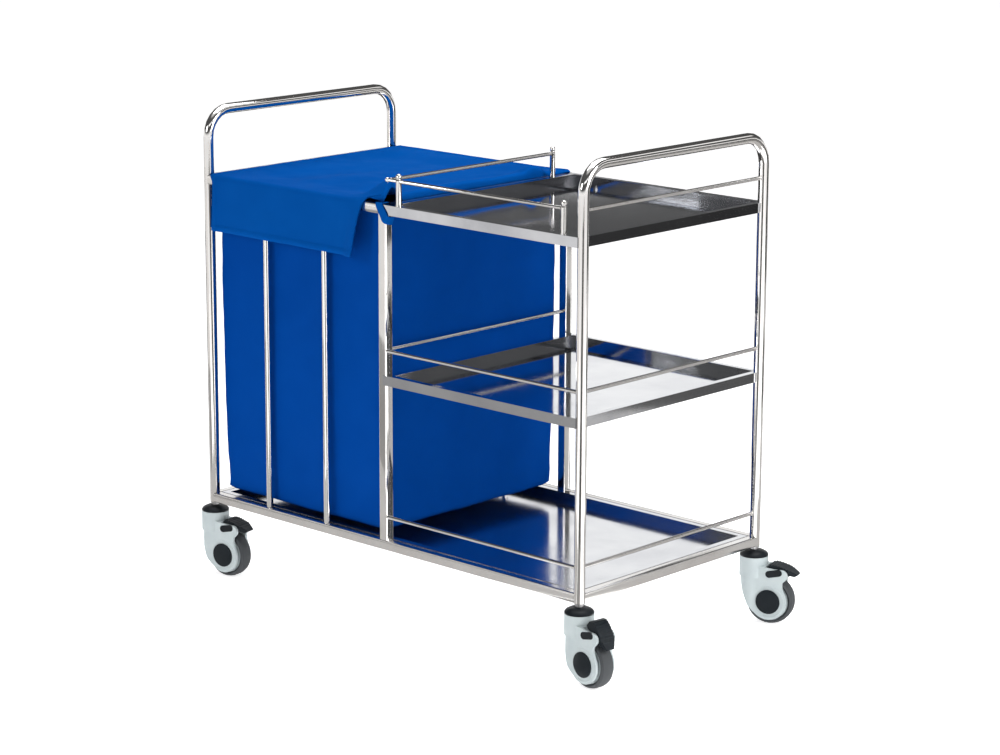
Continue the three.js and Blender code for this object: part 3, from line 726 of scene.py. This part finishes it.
def between(places, i, t):
    """A point at t, 0 to 1, between places i and i + 1 of a smooth curve through them all."""
    a, b = places[i], places[i + 1]
    slope_a = (b - places[max(0, i - 1)]) / 2
    slope_b = (places[min(len(places) - 1, i + 2)] - a) / 2
    at_a = a * (2 * t ** 3 - 3 * t ** 2 + 1) + slope_a * (t ** 3 - 2 * t ** 2 + t)
    at_b = b * (3 * t ** 2 - 2 * t ** 3) + slope_b * (t ** 3 - t ** 2)
    return at_a + at_b


def make_strap():
    """The blue strap over the rail at the middle front post and down across the post's face."""
    front = low("mid_front_post").y
    left, right = low("mid_front_post").x, high("mid_front_post").x
    # Where the strap's middle runs, and the direction of its width there.
    route = [
        ((left + 0.002, front + 0.019, RAIL_TOP + STRAP_OFF), (1, 0, 0)),
        ((left + 0.003, front + 0.006, RAIL_TOP + STRAP_OFF), (1, 0, 0)),
        ((left + 0.004, front - STRAP_OFF * 0.3, RAIL_TOP + STRAP_OFF * 0.8), (1, 0, 0.02)),
        ((left + 0.008, front - STRAP_OFF - 0.001, RAIL_TOP - 0.005), (0.94, 0, 0.30)),
        ((right - 0.002, front - STRAP_OFF - 0.0017, RAIL_BOTTOM + 0.001), (0.84, 0, 0.52)),
        ((right + 0.004, front - STRAP_OFF - 0.0012, RAIL_BOTTOM - 0.008), (0.72, 0.1, 0.68)),
        ((right + 0.009, front + 0.004, RAIL_BOTTOM - 0.011), (0.45, 0.2, 0.86)),
        ((right + 0.009, front + 0.016, RAIL_BOTTOM - 0.012), (0.25, 0.1, 0.96)),
    ]
    places = [Vector(place) for place, _ in route]
    widths = [Vector(width).normalized() for _, width in route]
    last = len(route) - 1
    points = []
    for i in range(last):
        for k in range(STRAP_STEPS):
            t = k / STRAP_STEPS
            centre = between(places, i, t)
            side = widths[i].lerp(widths[i + 1], t).normalized()
            for c in range(STRAP_COLUMNS):
                points.append(centre + side * ((c / (STRAP_COLUMNS - 1) - 0.5) * STRAP_WIDTH))
    faces = grid_faces(last * STRAP_STEPS, STRAP_COLUMNS)
    strap = piece_from("cover_strap", points, faces, cover_cloth_painted_lighter, "frame")
    thicken(strap, STRAP_THICKNESS, 0.0)


make_strap()

# ---------------------------------------------------------------- the casters' small parts

UP = Vector((0, 0, 1))
# The housing's half width, and how deep its small parts sit in its wall.
HOUSING_HALF = 0.024
SUNK = 0.0003

# A slot's size, its place out from the stem and up from the floor, and its slope.
SLOT_LENGTH = 0.036
SLOT_HEIGHT = 0.015
SLOT_OUT = 0.049
SLOT_UP = 0.111
SLOT_SLOPE = math.radians(13)
SLOT_END_POINTS = 20
# The insert's outlines: how far each one stands out, and its share of the slot's size.
INSERT_RINGS = (0.0, 1.0), (0.0009, 0.97), (0.0006, 0.84)

# The rib is part of a ring round the hub cap, open towards the stem.
RIB_RADIUS = 0.0325
RIB_THICKNESS = 0.0011
RIB_REACH = 112
RIB_STEPS = 48
RIB_SIDES = 8


def slot_outline():
    """A slot with round ends, as distances along it and across it."""
    half, end = (SLOT_LENGTH - SLOT_HEIGHT) / 2, SLOT_HEIGHT / 2
    outline = []
    for way in (1, -1):
        for i in range(SLOT_END_POINTS):
            a = math.pi * (i / (SLOT_END_POINTS - 1) - 0.5)
            outline.append((way * (half + end * math.cos(a)), way * end * math.sin(a)))
    return outline


def make_slot(name, body, centre, along, side):
    """A dark insert in a slot of the housing, a hair proud of the wall."""
    lengthways = along * math.cos(SLOT_SLOPE) + UP * math.sin(SLOT_SLOPE)
    across = UP * math.cos(SLOT_SLOPE) - along * math.sin(SLOT_SLOPE)
    outline = slot_outline()
    points = []
    for out, share in INSERT_RINGS:
        for u, v in outline:
            points.append(centre + lengthways * (u * share) + across * (v * share) + side * out)
    count = len(outline)
    rings = len(INSERT_RINGS)
    faces = grid_faces(rings, count, closed=True)
    faces.append(tuple(range(count * (rings - 1), count * rings)))
    faces.append(tuple(reversed(range(count))))
    piece_from(name, points, faces, dark_plastic, body, smooth=False)


def make_rib(name, body, centre, along, side):
    """The raised rib round the hub cap, on the housing's side."""
    points = []
    for i in range(RIB_STEPS):
        a = math.radians(-RIB_REACH + 2 * RIB_REACH * i / (RIB_STEPS - 1))
        out = along * math.cos(a) + UP * math.sin(a)
        for k in range(RIB_SIDES):
            b = 2 * math.pi * k / RIB_SIDES
            radius = RIB_RADIUS + RIB_THICKNESS * math.cos(b)
            points.append(centre + out * radius + side * (RIB_THICKNESS * math.sin(b)))
    faces = grid_faces(RIB_STEPS, RIB_SIDES, closed=True)
    faces.append(tuple(range(RIB_SIDES)))
    faces.append(tuple(reversed(range(RIB_SIDES * (RIB_STEPS - 1), RIB_SIDES * RIB_STEPS))))
    piece_from(name, points, faces, pale_plastic, body)


def make_caster_trim(corner):
    """A slot insert and a rib on both sides of one caster's housing."""
    stem, wheel = middle(f"caster_{corner}_stem"), middle(f"caster_{corner}_wheel")
    along = Vector((wheel.x - stem.x, wheel.y - stem.y, 0)).normalized()
    slot_centre = Vector((stem.x, stem.y, SLOT_UP)) + along * SLOT_OUT
    body = f"caster_{corner}_fork"
    for label, hand in (("a", 1), ("b", -1)):
        side = Vector((-along.y, along.x, 0)) * hand
        wall = side * (HOUSING_HALF - SUNK)
        make_slot(f"caster_{corner}_slot_{label}", body, slot_centre + wall, along, side)
        make_rib(f"caster_{corner}_rib_{label}", body, wheel + wall, along, side)


for corner in ("front_left", "front_right", "back_left", "back_right"):
    make_caster_trim(corner)

# ---------------------------------------------------------------- studio

FLOOR_SIZE = 60.0
FLOOR_WHITE = (0.93, 0.93, 0.93)
FLOOR_GLOW = 0.72

# Directions in the studio: towards the camera, and to the right of the view.
VIEW_OUT = Vector((CAMERA_FROM_CENTRE.x, CAMERA_FROM_CENTRE.y, 0)).normalized()
VIEW_SIDE = Vector((-VIEW_OUT.y, VIEW_OUT.x, 0))

# Cards on the floor: azimuths in degrees from the camera's direction, and bands outwards from the
# trolley, each from one radius to another with its brightness.
FLOOR_CARDS = {
    "card_left": (-110, -62, [(0.4, 1.45, 0.60), (1.45, 2.9, 0.36), (2.9, 12, 0.90)]),
    "card_base": (-62, -20, [(0.35, 1.3, 0.60)]),
    "card_base_end": (54, 74, [(0.4, 1.5, 0.60)]),
    "card_right": (74, 112, [(0.4, 2.38, 0.60), (2.38, 3.2, 0.11), (3.2, 4.06, 0.7), (4.06, 12, 0.04)]),
    "card_front": (-17, 15, [(0.5, 1.5, 0.35), (1.5, 12, 0.13)]),
    "card_far_left": (-178, -118, [(0.9, 12, 0.10)]),
    "card_far_right": (118, 178, [(0.9, 12, 0.13)]),
}
FLOOR_CARD_HEIGHT = 0.004
FLOOR_CARD_STEPS = 10
WARM = (1.0, 0.985, 0.97)

# The upright card behind the trolley.
BACK_CARD_HALF = 2.6
BACK_CARD_BEHIND = 1.7
BACK_CARD_FOOT = 0.46
BACK_CARD_TOP = 1.12
BACK_CARD_GLOW = 1.05

# Each light's place to the right, towards the camera and up, its size, and its power in watts.
LIGHTS = {
    "light_top": ((0.2, -0.4, 3.6), (3.4, 2.6), 92),
    "light_key": ((-3.6, 2.2, 2.3), (1.1, 1.1), 36),
    "light_fill": ((3.2, 2.2, 1.9), (1.6, 2.0), 78),
}
LIGHTS_AIM = CENTRE + Vector((0, 0, 0.5))

# Brightness by height over the horizon for the room and its lamps, and the lamps' share by side.
ROOM = [(0.0, 1.05), (0.03, 1.05), (0.10, 0.55), (0.15, 0.10), (0.55, 0.08), (0.80, 0.10), (0.90, 0.7)]
LAMPS = [(0.0, 0.0), (0.41, 0.0), (0.44, 1.3), (0.52, 1.3), (0.56, 0.0), (1.0, 0.0)]
LAMP_SIDE = [(0.0, 0.0), (0.15, 0.0), (0.30, 1.0), (1.0, 1.0)]


def studio_point(side, out, z):
    """A point by its distance to the right of the view and its distance towards the camera."""
    return tuple(CENTRE + VIEW_SIDE * side + VIEW_OUT * out + Vector((0, 0, z)))


def stage_sheet(name, corners, material):
    """One flat face of the studio, that isn't part of the trolley."""
    mesh = bpy.data.meshes.new(name)
    mesh.from_pydata(corners, [], [tuple(range(len(corners)))])
    mesh.materials.append(material)
    sheet = bpy.data.objects.new(name, mesh)
    scene.collection.objects.link(sheet)
    return sheet


def make_floor():
    """A white floor that glows enough to stay even all the way out."""
    s = Shader("floor_white")
    s.constants(Roughness=0.9, Emission_Color=(1, 1, 1, 1), Emission_Strength=FLOOR_GLOW)
    shade = tuple(c * 0.985 for c in FLOOR_WHITE)
    s.set("Base Color", s.colours(s.noise(2.0, 2.0), FLOOR_WHITE, shade))
    half = FLOOR_SIZE / 2
    corners = [(-half, -half, 0), (half, -half, 0), (half, half, 0), (-half, half, 0)]
    stage_sheet("floor", corners, s.material)


def glowing(name, colour, strength):
    """A material that only gives light."""
    material = bpy.data.materials.new(name)
    material.use_nodes = True
    tree = material.node_tree
    tree.nodes.clear()
    glow = tree.nodes.new("ShaderNodeEmission")
    glow.inputs["Color"].default_value = (*colour, 1)
    glow.inputs["Strength"].default_value = strength
    out = tree.nodes.new("ShaderNodeOutputMaterial")
    tree.links.new(glow.outputs[0], out.inputs["Surface"])
    return material


def reflection_card(name, corners, material):
    """A studio card that is seen in the polished steel and nowhere else."""
    card = stage_sheet(name, corners, material)
    card.visible_camera = False
    card.visible_diffuse = False
    card.visible_shadow = False
    card.visible_transmission = False
    card.visible_volume_scatter = False


def wedge(near, far, start, end):
    """The corners of a flat ring sector over the floor, by its radii and its azimuths."""
    steps = FLOOR_CARD_STEPS
    angles = [math.radians(start + (end - start) * i / steps) for i in range(steps + 1)]
    inner = [(near * math.sin(a), near * math.cos(a)) for a in angles]
    outer = [(far * math.sin(a), far * math.cos(a)) for a in reversed(angles)]
    return [studio_point(side, out, FLOOR_CARD_HEIGHT) for side, out in inner + outer]


def make_cards():
    for group, (start, end, bands) in FLOOR_CARDS.items():
        for i, (near, far, level) in enumerate(bands):
            name = f"{group}_{i}"
            glow = glowing(name, tuple(level * c for c in WARM), 1.0)
            reflection_card(name, wedge(near, far, start, end), glow)
    half, behind = BACK_CARD_HALF, -BACK_CARD_BEHIND
    corners = [studio_point(-half, behind, BACK_CARD_FOOT), studio_point(half, behind, BACK_CARD_FOOT)]
    corners += [studio_point(half, behind, BACK_CARD_TOP), studio_point(-half, behind, BACK_CARD_TOP)]
    reflection_card("card_back", corners, glowing("card_white", (1.0, 1.0, 1.0), BACK_CARD_GLOW))


def make_lights():
    for name, (place, size, power) in LIGHTS.items():
        data = bpy.data.lights.new(name, "AREA")
        data.shape = "RECTANGLE"
        data.size, data.size_y = size
        data.energy = power
        light = bpy.data.objects.new(name, data)
        scene.collection.objects.link(light)
        light.location = studio_point(*place)
        aim = LIGHTS_AIM - light.location
        light.rotation_euler = aim.to_track_quat("-Z", "Y").to_euler()
        light.visible_camera = False


def ramp_of(tree, value, stops):
    """Grey levels along a value, by their positions and brightnesses."""
    ramp = tree.nodes.new("ShaderNodeValToRGB")
    tree.links.new(value, ramp.inputs["Fac"])
    elements = ramp.color_ramp.elements
    elements[0].position, elements[1].position = stops[0][0], stops[-1][0]
    for position, _ in stops[1:-1]:
        elements.new(position)
    for element, (_, level) in zip(elements, stops):
        element.color = (level, level, level, 1)
    return ramp.outputs["Color"]


def make_world():
    """A dark room with a bright band low down, a strip of lamps on one side and a soft ceiling."""
    world = bpy.data.worlds.new("studio")
    scene.world = world
    world.use_nodes = True
    tree = world.node_tree
    coords = tree.nodes.new("ShaderNodeTexCoord")
    split = tree.nodes.new("ShaderNodeSeparateXYZ")
    tree.links.new(coords.outputs["Generated"], split.inputs["Vector"])
    total = tree.nodes.new("ShaderNodeMix")
    total.data_type = "RGBA"
    total.blend_type = "ADD"
    tree.links.new(ramp_of(tree, split.outputs["X"], LAMP_SIDE), total.inputs["Factor"])
    tree.links.new(ramp_of(tree, split.outputs["Z"], ROOM), total.inputs["A"])
    tree.links.new(ramp_of(tree, split.outputs["Z"], LAMPS), total.inputs["B"])
    tree.links.new(total.outputs["Result"], tree.nodes["Background"].inputs["Color"])


make_floor()
make_cards()
make_lights()
make_world()
scene.view_settings.view_transform = "Standard"
